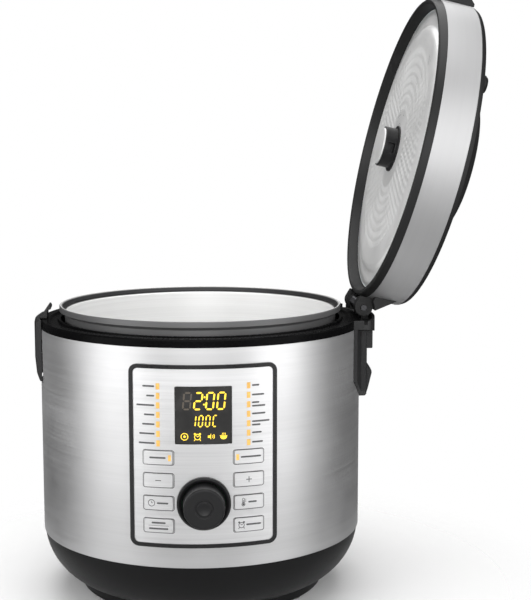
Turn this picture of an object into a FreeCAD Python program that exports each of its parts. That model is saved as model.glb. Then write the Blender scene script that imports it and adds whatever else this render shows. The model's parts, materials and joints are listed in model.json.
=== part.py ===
import FreeCAD, Part
import math
import os
import Sketcher

# Multicooker with a hinged lid. Millimetres, +Z up, floor at Z = 0, body axis on Z.
# The lid's hinge is on the +X side, its latch on the -X side and the control panel faces -Y.
# Lid parts are drawn closed, then turned about the hinge pin to the open rest position.

doc = FreeCAD.newDocument("multicooker")
sheet = doc.addObject("Spreadsheet::Sheet", "dims")

DRIVING = [
    ("body_radius", 135.0),
    ("skin_thickness", 0.8),
    ("foot_height", 8.0),
    ("skin_bottom", 54.0),
    ("skin_top", 225.0),
    ("deck_top", 231.4),
    ("bowl_foot_radius", 103.0),
    ("bowl_foot_height", 11.0),
    ("foot_ring_bottom", 4.0),
    ("foot_ring_width", 3.5),
    ("bowl_curve", 50.0),
    ("wall", 2.5),
    ("well_radius", 118.0),
    ("pot_bore", 112.5),
    ("pot_wall", 2.0),
    ("pot_rim_radius", 119.0),
    ("pot_rim_top", 242.6),
    ("pot_underside", 98.0),
    ("panel_turn", -2.3),
    ("panel_width", 113.2),
    ("panel_middle", 141.3),
    ("panel_height", 142.0),
    ("panel_border", 3.1),
    ("panel_corner", 6.5),
    ("board_face", 119.5),
    ("panel_face", 136.0),
    ("column_offset", 34.8),
    ("button_width", 22.4),
    ("button_height", 10.4),
    ("button_pitch", 17.75),
    ("button_middle", 114.1),
    ("button_gap", 0.3),
    ("display_size", 43.2),
    ("display_middle", 173.7),
    ("led_pitch", 7.33),
    ("knob_middle", 105.6),
    ("knob_ring_radius", 20.7),
    ("knob_radius", 16.2),
    ("knob_length", 17.5),
    ("hinge_reach", 135.6),
    ("hinge_height", 239.7),
    ("hinge_pin_radius", 2.5),
    ("pin_clearance", 0.06),
    ("knuckle_radius", 7.5),
    ("open_angle", 103.28),
    ("lip_plane", 234.4),
    ("lip_radius", 127.3),
    ("lip_width", 3.8),
    ("band_radius", 129.4),
    ("band_bottom", 240.6),
    ("band_top", 268.5),
    ("cover_rim", 127.9),
    ("plate_rim", 243.0),
    ("plate_centre", 238.8),
    ("latch_pivot_reach", 130.0),
    ("latch_pivot_height", 208.0),
    ("latch_face", 139.8),
    ("latch_half_width", 28.0),
    ("flange_face", 137.85),
    ("flange_half_width", 57.0),
    ("column_face", 141.5),
    ("column_half_width", 40.0),
    ("block_face", 146.2),
    ("block_half_width", 36.0),
    ("cup_half_width", 30.7),
    ("collar_face", 147.8),
    ("collar_top", 232.4),
    ("collar_parting_radius", 253.0),
    ("collar_parting_height", 471.7),
    ("column_foot_radius", 86.3),
    ("column_foot_height", 246.8),
    ("knuckle_outer", 28.0),
    ("knuckle_inner", 19.0),
    ("dome_radius", 56.0),
    ("dome_height", 26.2),
    ("valve_offset", 70.0),
    ("valve_seat", 21.5),
    ("valve_height", 34.5),
]


class Size:
    """A length together with the sheet formula it comes from."""

    def __init__(self, value, text):
        self.value = value
        self.text = text

    def __add__(self, other):
        other = size(other)
        return Size(self.value + other.value, f"({self.text} + {other.text})")

    def __sub__(self, other):
        other = size(other)
        return Size(self.value - other.value, f"({self.text} - {other.text})")

    def __mul__(self, other):
        other = size(other)
        return Size(self.value * other.value, f"({self.text} * {other.text})")

    def __truediv__(self, other):
        other = size(other)
        return Size(self.value / other.value, f"({self.text} / {other.text})")

    def __radd__(self, other):
        return size(other) + self

    def __rsub__(self, other):
        return size(other) - self

    def __rmul__(self, other):
        return size(other) * self

    def __neg__(self):
        return Size(-self.value, f"(0 - {self.text})")


def size(number):
    """Any plain number as a Size."""
    return number if isinstance(number, Size) else Size(float(number), repr(float(number)))


D = {}
for line, (name, value) in enumerate(DRIVING, start=1):
    sheet.set(f"A{line}", name)
    sheet.set(f"B{line}", str(value))
    sheet.setAlias(f"B{line}", name)
    D[name] = Size(value, f"dims.{name}")
doc.recompute()

vector = FreeCAD.Vector
UP = vector(0, 0, 1)
FRONT = FreeCAD.Rotation(vector(1, 0, 0), 90)
HINGE = vector(D["hinge_reach"].value, 0, D["hinge_height"].value)
OPENED = FreeCAD.Placement(vector(), FreeCAD.Rotation(vector(0, 1, 0), D["open_angle"].value), HINGE)
PANEL_TURN = D["panel_turn"].value

body_r = D["body_radius"]
skin_in = body_r - D["skin_thickness"]
deck_top = D["deck_top"]
skin_top = D["skin_top"]
skin_bottom = D["skin_bottom"]
wall = D["wall"]
hinge_x = D["hinge_reach"]
hinge_z = D["hinge_height"]
pin_r = D["hinge_pin_radius"]
lip_z = D["lip_plane"]
lip_r = D["lip_radius"]
band_in = D["band_radius"] - D["skin_thickness"]

nodes = []


# ---- drawing helpers ----------------------------------------------------------------------

def turned(angle, height=0.0, rotation=FreeCAD.Rotation()):
    """A placement that swings a part about the body axis, after its own rotation."""
    return FreeCAD.Placement(vector(0, 0, height), FreeCAD.Rotation(UP, angle) * rotation)


def keep(thing, label, placement=None):
    """Names a finished sub-part; its label becomes the file name."""
    thing.Label = label
    if placement is not None:
        thing.Placement = placement
    nodes.append(thing)
    return thing


def new_body():
    return doc.addObject("PartDesign::Body", "Body")


def settle(feature):
    """Recomputes and stops at the first feature that fails."""
    doc.recompute()
    if "Invalid" in feature.State or "Error" in feature.State:
        raise ValueError(f"{feature.Name} did not build")
    return feature


def bind(sketch, constraint, length):
    """Adds a sketch constraint whose value follows the sheet."""
    index = sketch.addConstraint(constraint)
    sketch.setExpression(f"Constraints[{index}]", length.text)


def hold(sketch, geometry, point, x, y):
    """Holds a sketch point at sheet distances from the origin."""
    bind(sketch, Sketcher.Constraint("DistanceX", -1, 1, geometry, point, x.value), x)
    bind(sketch, Sketcher.Constraint("DistanceY", -1, 1, geometry, point, y.value), y)


def draw_circle(sketch, x, y, radius):
    x, y, radius = size(x), size(y), size(radius)
    circle = Part.Circle(vector(x.value, y.value, 0), UP, radius.value)
    index = sketch.addGeometry(circle)
    hold(sketch, index, 3, x, y)
    bind(sketch, Sketcher.Constraint("Radius", index, radius.value), radius)


def draw_outline(sketch, corners):
    """A closed outline. A corner is (x, y), or (x, y, r) when an arc of radius r leads to the next
    corner: a positive r has its centre to the left of the way from one to the next."""
    points = [tuple(size(part) for part in corner) for corner in corners]
    pieces = []
    for number, corner in enumerate(points):
        following = points[(number + 1) % len(points)]
        start = vector(corner[0].value, corner[1].value, 0)
        end = vector(following[0].value, following[1].value, 0)
        if len(corner) == 2:
            index = sketch.addGeometry(Part.LineSegment(start, end))
            pieces.append((index, 1, 2))
            continue
        radius = corner[2].value
        chord = end - start
        left = vector(-chord.y, chord.x, 0).normalize()
        rise = math.sqrt(radius ** 2 - (chord.Length / 2) ** 2)
        centre = (start + end) * 0.5 + left * math.copysign(rise, radius)
        first, last = (start, end) if radius > 0 else (end, start)
        angles = [math.atan2(p.y - centre.y, p.x - centre.x) for p in (first, last)]
        circle = Part.Circle(centre, UP, abs(radius))
        index = sketch.addGeometry(Part.ArcOfCircle(circle, angles[0], angles[1]))
        pieces.append((index, 1, 2) if radius > 0 else (index, 2, 1))
        size_of_arc = corner[2] if radius > 0 else -corner[2]
        bind(sketch, Sketcher.Constraint("Radius", index, size_of_arc.value), size_of_arc)
    for number, piece in enumerate(pieces):
        following = pieces[(number + 1) % len(pieces)]
        meeting = Sketcher.Constraint("Coincident", piece[0], piece[2], following[0], following[1])
        sketch.addConstraint(meeting)
        hold(sketch, piece[0], piece[1], points[number][0], points[number][1])


def sketch_on(body, plane, shapes, lift=0):
    """A sketch on one of the body's own planes, moved along that plane's normal by lift."""
    sketch = body.newObject("Sketcher::SketchObject", "Sketch")
    origin = [part for part in body.Origin.OriginFeatures if part.Role == plane][0]
    sketch.AttachmentSupport = [(origin, "")]
    sketch.MapMode = "FlatFace"
    sketch.setExpression("AttachmentOffset.Base.z", size(lift).text)
    for shape in shapes:
        if shape[0] == "circle":
            draw_circle(sketch, *shape[1:])
        else:
            draw_outline(sketch, shape)
    return settle(sketch)


def pad(body, plane, shapes, start, length):
    """Adds material from start to start + length along the plane's normal (-Y for XZ_Plane)."""
    feature = body.newObject("PartDesign::Pad", "Pad")
    feature.Profile = sketch_on(body, plane, shapes, start)
    feature.setExpression("Length", size(length).text)
    return settle(feature)


def pocket(body, plane, shapes, start, length):
    """Removes material from start to start + length along the plane's normal."""
    before = body.Shape.Volume
    feature = body.newObject("PartDesign::Pocket", "Pocket")
    feature.Profile = sketch_on(body, plane, shapes, size(start) + length)
    feature.setExpression("Length", size(length).text)
    settle(feature)
    if body.Shape.Volume > before - 1e-6:
        raise ValueError("a pocket removed nothing")
    return feature


def lathe(corners, body=None, cut=False):
    """Turns an outline in (radius, height) about Z, adding to the body or cutting it."""
    body = body or new_body()
    feature = body.newObject("PartDesign::Groove" if cut else "PartDesign::Revolution", "Turned")
    sketch = sketch_on(body, "XZ_Plane", [corners])
    feature.Profile = sketch
    feature.ReferenceAxis = (sketch, ["V_Axis"])
    feature.Angle = 360
    settle(feature)
    return body


def box_outline(x0, y0, x1, y1):
    return [(x0, y0), (x1, y0), (x1, y1), (x0, y1)]


def bound(kind, **lengths):
    """A Part primitive with its lengths bound to the sheet."""
    thing = doc.addObject(kind, "Shape")
    for name, length in lengths.items():
        thing.setExpression(name, size(length).text)
    return thing


def tube(inner, outer, bottom, height):
    """A Part tube about the body axis."""
    big = bound("Part::Cylinder", Radius=outer, Height=height)
    small = bound("Part::Cylinder", Radius=inner, Height=height)
    for cylinder in (big, small):
        cylinder.setExpression("Placement.Base.z", size(bottom).text)
    return join("Part::Cut", big, small)


def join(kind, first, second):
    thing = doc.addObject(kind, "Shape")
    thing.Base = first
    thing.Tool = second
    doc.recompute()
    return thing


def radial_block(width, height, middle, corner=0, arc=0):
    """A block that runs out along -Y, swung along the panel by an arc length at its face."""
    block = bound("Part::Box", Length=width, Width=60, Height=height)
    block.setExpression("Placement.Base.x", (-size(width) / 2).text)
    block.setExpression("Placement.Base.y", "-160")
    block.setExpression("Placement.Base.z", (size(middle) - size(height) / 2).text)
    doc.recompute()
    if corner:
        rounded = doc.addObject("Part::Fillet", "Shape")
        rounded.Base = block
        rounded.Edges = [
            (number, corner, corner)
            for number, edge in enumerate(block.Shape.Edges, start=1)
            if edge.BoundBox.YLength > 59
        ]
        block = rounded
    swing = math.degrees(arc / D["panel_face"].value)
    holder = doc.addObject("Part::Compound", "Swung")
    holder.Links = [block]
    holder.Placement = turned(swing)
    doc.recompute()
    return holder


def tile(inner, outer, width, height, middle, corner=0, arc=0):
    """A rectangular piece of a cylindrical wall, facing -Y."""
    block = radial_block(width, height, middle, corner, arc)
    shell = tube(inner, outer, size(middle) - size(height), size(height) * 2)
    return join("Part::Common", shell, block)


def slab(half_width, low_x, high_x):
    """A tall block that limits a ring to |y| below half_width and x from low_x to high_x."""
    block = bound("Part::Box", Length=size(high_x) - low_x, Width=size(half_width) * 2, Height=400)
    block.setExpression("Placement.Base.x", size(low_x).text)
    block.setExpression("Placement.Base.y", (-size(half_width)).text)
    return block


def sector(corners, half_width, low_x, high_x):
    """The part of a turned outline that lies between two planes of constant y."""
    return join("Part::Common", lathe(corners), slab(half_width, low_x, high_x))


def barrel(radius, height):
    """A long cylinder along X that trims an edge to an arc seen from the side."""
    drum = bound("Part::Cylinder", Radius=radius, Height=400)
    along_x = FreeCAD.Rotation(vector(0, 1, 0), 90)
    drum.Placement = FreeCAD.Placement(vector(-200, 0, size(height).value), along_x)
    drum.setExpression("Placement.Base.z", size(height).text)
    return drum


def compound(parts):
    thing = doc.addObject("Part::Compound", "Group")
    thing.Links = parts
    doc.recompute()
    return thing


def solids(shapes, label, placement=None):
    """Several plain solids that share one node."""
    thing = doc.addObject("Part::Feature", "Group")
    thing.Shape = Part.makeCompound(shapes) if len(shapes) > 1 else shapes[0]
    return keep(thing, label, placement)


def rod(radius, length, start, direction=UP):
    return Part.makeCylinder(radius, length, start, direction)


# ---- base ---------------------------------------------------------------------------------

FOOT_CIRCLE = 92.0
FOOT_ANGLES = [37, 143, 217, 323]
SCREW_CIRCLE = 81.0
SCREW_ANGLES = [0, 90, 180, 270]


def around(radius, angle, height):
    turn = math.radians(angle)
    return vector(radius * math.cos(turn), radius * math.sin(turn), height)


def screw_circles(radius):
    """Outlines of the four screws' holes in the bowl's flange and the bottom plate."""
    places = [around(SCREW_CIRCLE, angle, 0) for angle in SCREW_ANGLES]
    return [("circle", place.x, place.y, radius) for place in places]


def make_base_shell():
    """Rounded lower bowl on a low foot ring, open at the bottom, with a spigot for the skin."""
    spigot = skin_in - 0.2
    foot = D["foot_height"]
    ring = D["bowl_foot_radius"]
    under = D["foot_ring_bottom"]
    bowl = lathe([
        (skin_in, skin_bottom, -D["bowl_curve"]),
        (ring, D["bowl_foot_height"]),
        (ring, under + 0.6),
        (ring - 0.6, under),
        (ring - D["foot_ring_width"], under),
        (ring - D["foot_ring_width"], foot),
        (70, foot),
        (70, foot + wall),
        (91, foot + wall, D["bowl_curve"]),
        (spigot - wall, skin_bottom),
        (spigot - wall, skin_bottom + 7),
        (spigot, skin_bottom + 7),
        (spigot, skin_bottom),
    ])
    pocket(bowl, "XY_Plane", screw_circles(3.4), foot, 1.4)
    pocket(bowl, "XY_Plane", screw_circles(1.6), foot, wall)
    keep(bowl, "base_shell")


def make_bottom_plate():
    """Steel closing plate on the bowl's inner flange, with a ring of vent slots."""
    plate = lathe([
        (0, D["foot_height"] + wall),
        (88, D["foot_height"] + wall),
        (88, D["foot_height"] + wall + 1.5),
        (0, D["foot_height"] + wall + 1.5),
    ])
    pocket(plate, "XY_Plane", screw_circles(1.6), D["foot_height"], wall * 2)
    slot = pocket(plate, "XY_Plane", [box_outline(30, -2, 60, 2)], D["foot_height"], wall * 2)
    pattern = plate.newObject("PartDesign::PolarPattern", "Pattern")
    pattern.Originals = [slot]
    pattern.Axis = ([o for o in plate.Origin.OriginFeatures if o.Role == "Z_Axis"][0], [""])
    pattern.Angle = 360
    pattern.Occurrences = 12
    plate.Tip = pattern
    keep(plate, "bottom_plate")


def make_feet():
    """Four rubber feet, tapered towards the floor."""
    height = D["foot_height"].value
    feet = [Part.makeCone(5.4, 6.6, height, around(FOOT_CIRCLE, a, 0)) for a in FOOT_ANGLES]
    solids(feet, "feet")


def make_bottom_screws():
    """Four cross-head screws from below that hold the bottom plate."""
    level = D["foot_height"].value
    screws = []
    for angle in SCREW_ANGLES:
        head = rod(3.2, 1.3, around(SCREW_CIRCLE, angle, level + 0.1))
        shank = rod(1.5, 8, around(SCREW_CIRCLE, angle, level + 0.1))
        centre = around(SCREW_CIRCLE, angle, level)
        bars = ((3.6, 0.8), (0.8, 3.6))
        cross = [Part.makeBox(a, b, 0.9, centre - vector(a / 2, b / 2, 0)) for a, b in bars]
        screws.append(head.fuse(shank).cut(cross[0].fuse(cross[1])))
    solids(screws, "bottom_screws")


PANEL_INNER_WIDTH = D["panel_width"] - D["panel_border"] * 2
PANEL_INNER_HEIGHT = D["panel_height"] - D["panel_border"] * 2


def make_body_skin():
    """Brushed steel tube with openings for the panel, the latch and the mains inlet."""
    shell = tube(skin_in, body_r, skin_bottom, skin_top - skin_bottom)
    window = radial_block(PANEL_INNER_WIDTH + 0.2, PANEL_INNER_HEIGHT + 0.2, D["panel_middle"], 4)
    window.Placement = turned(PANEL_TURN)
    latch = bound("Part::Box", Length=20, Width=57, Height=36)
    latch.Placement = FreeCAD.Placement(vector(-145, -28.5, 180), FreeCAD.Rotation())
    inlet = bound("Part::Box", Length=30.4, Width=30, Height=24.4)
    inlet.Placement = FreeCAD.Placement(vector(-15.2, 120, 61.8), FreeCAD.Rotation())
    skin = join("Part::Cut", shell, compound([window, latch, inlet]))
    keep(skin, "body_skin")


def make_deck():
    """Glossy top ring: outer edge, drain channel and the wall of the pot well."""
    well = D["well_radius"]
    deck = lathe([
        (body_r, skin_top),
        (body_r, deck_top - 1.2),
        (body_r - 1.2, deck_top),
        (127.2, deck_top),
        (126.0, deck_top - 1.8),
        (120.8, deck_top - 1.8),
        (120.0, deck_top),
        (well, deck_top),
        (well, 210),
        (well + 2, 210),
        (well + 2, skin_top + 2.2),
        (132, skin_top + 2.2),
        (132, skin_top - 9),
        (skin_in - 0.1, skin_top - 9),
        (skin_in - 0.1, skin_top),
    ])
    keep(deck, "deck")


def make_pot_shield():
    """Plated steel wall round the pot, hanging from the deck."""
    inner = D["well_radius"] - 1.4
    shield = lathe([
        (93, 80),
        (inner, 80),
        (inner + 0.8, 80.8),
        (inner + 0.8, 209),
        (121, 209),
        (121, 210),
        (inner, 210),
        (inner, 80.8),
        (93, 80.8),
    ])
    keep(shield, "pot_shield")


def make_heater():
    """Cast heating plate under the pot, with its three posts."""
    top = D["pot_underside"]
    plate = lathe([
        (16.2, top - 9),
        (60, top - 9),
        (60, top - 13),
        (80, top - 13),
        (80, top - 9),
        (90, top - 7),
        (90, top - 1.2),
        (88.8, top),
        (17.2, top),
        (16.2, top - 1),
    ])
    keep(plate, "heater_plate")
    floor = D["foot_height"].value + wall.value + 1.5
    posts = [rod(4, top.value - 13 - floor, around(70, a, floor)) for a in (30, 150, 270)]
    solids(posts, "heater_posts")


def make_thermostat():
    """Spring-loaded temperature sensor in the middle of the heating plate."""
    top = D["pot_underside"] - 0.4
    sensor = lathe([
        (0, top - 22),
        (3, top - 22),
        (3, top - 3.5),
        (15, top - 3.5),
        (15, top - 0.8),
        (14.2, top),
        (0, top),
    ])
    keep(sensor, "thermostat")
    holder = lathe([
        (3.2, 68),
        (9, 68),
        (9, 70),
        (5, 70),
        (5, 75),
        (3.2, 75),
    ])
    pad(holder, "XY_Plane", [box_outline(5.5, -4, 66, 4)], 68, 1.5)
    keep(holder, "thermostat_holder")


def make_pot():
    """Removable cooking pot: flared rim, straight wall, rounded bottom corner."""
    bore = D["pot_bore"]
    outer = bore + D["pot_wall"]
    rim = D["pot_rim_radius"]
    top = D["pot_rim_top"]
    under = D["pot_underside"]
    pot = lathe([
        (0, under),
        (outer - 16, under, 16),
        (outer, under + 16),
        (outer, top - 7.2),
        (outer + 1.6, top - 5.8),
        (rim, top - 4.6),
        (rim, top - 1.0, 1.0),
        (rim - 1.0, top),
        (rim - 1.8, top - 0.3),
        (bore + 1.6, top - 3.4, -2.6),
        (bore, top - 5.6),
        (bore, under + D["pot_wall"] + 14, -14),
        (bore - 14, under + D["pot_wall"]),
        (0, under + D["pot_wall"]),
    ])
    keep(pot, "inner_pot")


def make_boards():
    """Power board in the base, control board behind the panel, display module."""
    floor = D["foot_height"].value + wall.value + 1.5
    base = Part.makeBox(80, 60, 1.6, vector(-20, -30, floor + 5))
    relay = Part.makeBox(20, 16, 15, vector(-12, -22, floor + 6.6))
    coil = Part.makeBox(24, 20, 22, vector(25, -24, floor + 6.6))
    can = rod(6, 20, vector(2, 15, floor + 6.6))
    standoffs = [rod(2.5, 5, vector(x, y, floor)) for x in (-16, 56) for y in (-26, 26)]
    board = base.multiFuse([relay, coil, can] + standoffs)
    solids([board], "power_board")
    face = D["board_face"].value
    sheet_board = Part.makeBox(104, 1.6, 128, vector(-52, -face, 79))
    hole = rod(3.6, 12, vector(0, -face - 8, D["knob_middle"].value), vector(0, 1, 0))
    switches = []
    for side in (-1, 1):
        for row in range(4):
            height = button_height(row)
            switches.append(Part.makeBox(6, 3.6, 6, vector(side * 34 - 3, -face - 3.6, height - 3)))
    encoder = Part.makeBox(12, 6, 12, vector(-6, -face - 6, D["knob_middle"].value - 6)).cut(hole)
    control = sheet_board.cut(hole).multiFuse(switches + [encoder])
    solids([control], "control_board", turned(PANEL_TURN))


# ---- control panel ------------------------------------------------------------------------

def button_height(row):
    """Height of a button's middle, counted from the top row."""
    return D["button_middle"].value + (1.5 - row) * D["button_pitch"].value


def make_panel_frame():
    """Raised black border, lying on the skin round the panel opening."""
    face = D["panel_face"] + 0.5
    outside = tile(
        body_r, face, D["panel_width"], D["panel_height"], D["panel_middle"],
        D["panel_corner"].value,
    )
    inside = radial_block(PANEL_INNER_WIDTH, PANEL_INNER_HEIGHT, D["panel_middle"], 3.8)
    frame = join("Part::Cut", outside, inside)
    keep(frame, "panel_frame", turned(PANEL_TURN))


def lamp_heights():
    middle = D["display_middle"].value
    return [middle + (3 - n) * D["led_pitch"].value for n in range(7)]


def make_panel_plate():
    """Curved silver fascia with openings for the display, lamps, buttons and knob."""
    face = D["panel_face"]
    gap = D["button_gap"]
    blank = tile(face - 2.6, face, PANEL_INNER_WIDTH, PANEL_INNER_HEIGHT, D["panel_middle"], 3.8)
    openings = [radial_block(D["display_size"] + 0.2, D["display_size"] + 1.4, D["display_middle"], 1)]
    for side in (-1, 1):
        for row in range(4):
            openings.append(radial_block(
                D["button_width"] + gap * 2,
                D["button_height"] + gap * 2,
                button_height(row),
                1.6,
                side * D["column_offset"].value,
            ))
        for height in lamp_heights():
            openings.append(radial_block(2.8, 4.7, height, 0, side * D["column_offset"].value))
    shaft = doc.addObject("Part::Feature", "Shaft")
    shaft_start = vector(0, -100, D["knob_middle"].value)
    shaft.Shape = rod(D["knob_ring_radius"].value, 60, shaft_start, vector(0, -1, 0))
    openings.append(shaft)
    plate = join("Part::Cut", blank, compound(openings))
    keep(plate, "panel_plate", turned(PANEL_TURN))


def make_display():
    """Dark display window, and the display module behind it."""
    face = D["panel_face"]
    across = D["display_size"]
    window = tile(face - 2.6, face + 0.3, across, across + 1.2, D["display_middle"], 0.8)
    keep(window, "display_window", turned(PANEL_TURN))
    module = bound("Part::Box", Length=40, Width=8, Height=40)
    module.setExpression("Placement.Base.z", (D["display_middle"] - 20).text)
    module.setExpression("Placement.Base.x", "-20")
    module.setExpression("Placement.Base.y", "-131.1")
    keep(compound([module]), "display_module", turned(PANEL_TURN))


def make_lamps():
    """Two columns of indicator bars, one beside each programme name."""
    lamps = []
    for side in (-1, 1):
        for height in lamp_heights():
            lamps.append(tile(
                D["panel_face"] - 2.6, D["panel_face"] + 0.2, 2.7, 4.6, height, 0,
                side * D["column_offset"].value,
            ))
    keep(compound(lamps), "indicator_lamps", turned(PANEL_TURN))


def make_buttons():
    """Eight push buttons in two columns; each slides in along its own radius."""
    for side, word in ((-1, "left"), (1, "right")):
        for row in range(4):
            cap = tile(
                D["panel_face"] - 6,
                D["panel_face"] + 0.7,
                D["button_width"],
                D["button_height"],
                button_height(row),
                1.3,
                side * D["column_offset"].value,
            )
            keep(compound([cap]), f"button_{word}_{row + 1}", turned(PANEL_TURN))


def make_knob():
    """Fixed bezel ring and the turning selector knob with its shaft."""
    face = D["panel_face"].value
    ring_r = D["knob_ring_radius"]
    ring = lathe([
        (ring_r - 3.7, face - 2.6),
        (ring_r, face - 2.6),
        (ring_r, face + 2.2),
        (ring_r - 0.9, face + 3.4),
        (ring_r - 1.7, face + 3.4),
        (ring_r - 3.7, face + 1.8),
    ])
    keep(ring, "knob_bezel", turned(PANEL_TURN, D["knob_middle"].value, FRONT))
    radius = D["knob_radius"]
    end = D["knob_length"] + face
    knob = lathe([
        (0, face - 0.6),
        (radius, face - 0.6),
        (radius, face + 3.0),
        (radius - 0.5, end - 1.4, 1.5),
        (radius - 1.9, end),
        (7.2, end),
        (6.6, end - 0.7),
        (5.6, end - 0.7),
        (5.0, end, -20),
        (0, end - 0.7),
    ])
    pad(knob, "XY_Plane", [("circle", 0, 0, 3.0)], face - 15, 14.4)
    keep(knob, "selector_knob", turned(PANEL_TURN, D["knob_middle"].value, FRONT))


# ---- latch --------------------------------------------------------------------------------

def make_latch_lever():
    """Press-bar on the body's side with the hook that holds the lid, on two inward lugs."""
    inner = body_r + 0.6
    pivot_x = -D["latch_pivot_reach"]
    pivot_z = D["latch_pivot_height"]
    face = D["latch_face"]
    half = D["latch_half_width"]
    lever = lathe([
        (inner, 182), (face - 2.8, 182), (face - 1.2, 187), (face, 200), (face, 229),
        (face - 0.6, 231.4), (face - 2.2, 232.6), (inner, 232.6),
    ])
    for start in (half, -half - 150):
        pocket(lever, "XZ_Plane", [box_outline(-150, 170, 150, 240)], start, 150)
    pocket(lever, "XZ_Plane", [box_outline(0, 170, 150, 240)], -half - 1, half * 2 + 2)
    hook = [
        (-136.6, 232.0), (-128.9, 232.0), (-128.9, 238.6), (-125.9, 239.4), (-125.9, 241.2),
        (-126.8, 242.6), (-127.8, 242.4), (-133.8, 233.6), (-136.6, 232.6),
    ]
    pad(lever, "XZ_Plane", [hook], -11, 22)
    lug = [
        (-136.6, 203.2), (-129.5, 203.2), (-125.6, 206.4),
        (-125.6, 210.2), (-129.5, 212.8), (-136.6, 212.8),
    ]
    for start in (-13, 9):
        pad(lever, "XZ_Plane", [lug], start, 4)
    pocket(lever, "XZ_Plane", [("circle", pivot_x, pivot_z, 2.0 + D["pin_clearance"])], -20, 40)
    keep(lever, "latch_lever")


def make_latch_bracket():
    """Bracket under the deck that carries the latch pin."""
    pivot_x = -D["latch_pivot_reach"]
    pivot_z = D["latch_pivot_height"]
    under = skin_top + 2.2
    bracket = new_body()
    pad(bracket, "XZ_Plane", [box_outline(-129.5, under - 1.5, -122, under)], -17, 34)
    ear = [(-133.2, 203.5), (-126, 203.5), (-126, under), (-129.5, under), (-129.5, 215), (-133.2, 212.5)]
    for start in (-17, 15):
        pad(bracket, "XZ_Plane", [ear], start, 2)
    pocket(bracket, "XZ_Plane", [("circle", pivot_x, pivot_z, 2.0)], -20, 40)
    keep(bracket, "latch_bracket")
    place = vector(-D["latch_pivot_reach"].value, -18, D["latch_pivot_height"].value)
    solids([rod(2.0, 36, place, vector(0, 1, 0))], "latch_pin")


# ---- hinge side ---------------------------------------------------------------------------

def make_hinge_collar():
    """Trough round the hinge, with two ears for the pin, on top of the column."""
    face = D["collar_face"]
    top = D["collar_top"]
    half = D["flange_half_width"]
    shell = sector([
        (body_r, 215),
        (face, 215),
        (face, top - 0.6),
        (face - 0.6, top),
        (face - 1.9, top),
        (face - 2.5, top - 0.6),
        (face - 2.5, 229),
        (body_r, 229),
    ], half, 100, 160)
    plan = new_body()
    pad(plan, "XY_Plane", [[
        (100, -half), (131, -half, 16), (143.5, -38), (155, -20),
        (155, 20), (143.5, 38, 16), (131, half), (100, half),
    ]], 200, 60)
    ends = new_body()
    for side in (-1, 1):
        pad(ends, "XY_Plane", [box_outline(100, side * half, 131, side * (half - 2.5))], 215, top - 215)
    pocket(ends, "XY_Plane", [("circle", 0, 0, body_r)], 210, 40)
    ears = new_body()
    for start in (-18, 13.5):
        ear = [
            (135.4, 227), (hinge_x + 5.6, 227), (hinge_x + 5.6, hinge_z, 5.6),
            (hinge_x, hinge_z + 5.6, 5.6), (hinge_x - 5.6, hinge_z),
            (hinge_x - 4.6, deck_top + 1.6), (135.4, deck_top + 1.6),
        ]
        pad(ears, "XZ_Plane", [ear], start, 4.5)
    pocket(ears, "XZ_Plane", [("circle", hinge_x, hinge_z, pin_r)], -40, 80)
    walls = join("Part::Common", join("Part::Fuse", shell, ends), plan)
    trimmed = join("Part::Common", walls, barrel(D["collar_parting_radius"], D["collar_parting_height"]))
    keep(join("Part::Fuse", trimmed, ears), "hinge_collar")
    reach = D["knuckle_outer"].value + 1.5
    start = vector(hinge_x.value, -reach, hinge_z.value)
    solids([rod(pin_r.value, reach * 2, start, vector(0, 1, 0))], "hinge_pin")


def make_hinge_spring():
    """Torsion spring that lifts the lid: a close coil round the pin between the ears."""
    coil = Part.makeHelix(2.2, 24, 4.6)
    path = Part.Wire(coil.Edges)
    section = Part.Wire([Part.makeCircle(0.8, vector(4.6, 0, 0), vector(0, 1, 0))])
    spring = path.makePipeShell([section], True, True)
    place = FreeCAD.Placement(
        vector(hinge_x.value, -12, hinge_z.value),
        FreeCAD.Rotation(vector(1, 0, 0), -90),
    )
    solids([spring], "hinge_spring", place)


def ring_step(outer, bottom, top):
    """Outline of a turned step that lies on the skin."""
    return [(body_r, bottom), (outer, bottom), (outer, top), (body_r, top)]


def make_hinge_column():
    """Cover below the collar: broad flange, deeper middle block, pocket for the cup."""
    flange = sector(ring_step(D["flange_face"], 155, skin_top), D["flange_half_width"], 100, 160)
    middle = sector(ring_step(D["column_face"], 155, skin_top), D["column_half_width"], 100, 160)
    block = sector(ring_step(D["block_face"], 206.5, skin_top), D["block_half_width"], 100, 160)
    solid = join("Part::Fuse", join("Part::Fuse", flange, middle), block)
    recess = sector(ring_step(160, 150, 191.2), D["cup_half_width"] + 0.3, 100, 170)
    solid = join("Part::Cut", solid, recess)
    solid = join("Part::Common", solid, barrel(D["column_foot_radius"], D["column_foot_height"]))
    solid = join("Part::Cut", solid, barrel(D["collar_parting_radius"], D["collar_parting_height"]))
    keep(solid, "hinge_column")


def make_condensate_cup():
    """Pull-out drip cup in the foot of the column, open at the top."""
    outside = sector([
        (135.4, 155), (138.6, 155), (139.4, 161), (142.8, 172), (145.7, 184.3), (144.6, 186.4),
        (141.6, 190.8), (135.4, 190.8),
    ], D["cup_half_width"], 100, 160)
    hollow = sector([
        (136.2, 168.4), (140.0, 168.4), (141.4, 172), (143.8, 181.8), (143.8, 184.6), (140.6, 190.2),
        (140.6, 195), (136.2, 195),
    ], D["cup_half_width"] - 1.7, 100, 160)
    cup = join("Part::Cut", outside, hollow)
    cup = join("Part::Common", cup, barrel(D["column_foot_radius"], D["column_foot_height"]))
    keep(cup, "condensate_cup")


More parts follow.
